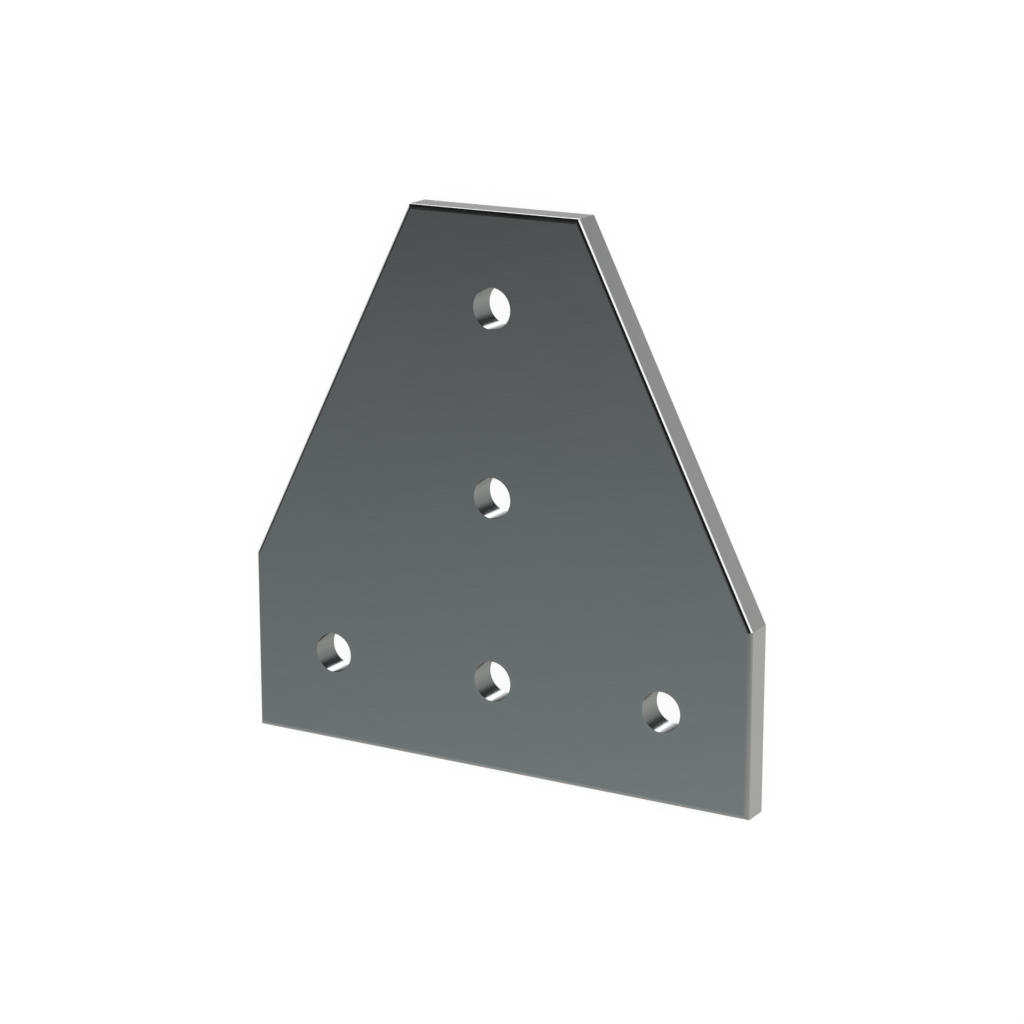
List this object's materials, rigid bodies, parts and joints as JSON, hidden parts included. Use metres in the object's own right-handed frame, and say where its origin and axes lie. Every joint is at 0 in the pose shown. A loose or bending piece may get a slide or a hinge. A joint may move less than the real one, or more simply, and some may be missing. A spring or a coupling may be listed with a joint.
{
  "type": "extrusion joining plate",
  "caption": "Flat tapered tee plate of satin aluminium that bolts over the joint of two slotted framing bars, with round clearance holes in a T and a rolled front edge.",
  "frame": {"origin": "axis of the junction hole, where the cross row and the stem row meet, at the mounting face", "axes": "+X along the cross bar, +Y up the stem, +Z out of the front face; the plate lies on its mounting face"},
  "size_m": [0.1142, 0.1144, 0.0063],
  "materials": {
    "satin_aluminium": "satin"
  },
  "bodies": {
    "root": {"joining_plate": "satin_aluminium"}
  },
  "joints": []
}
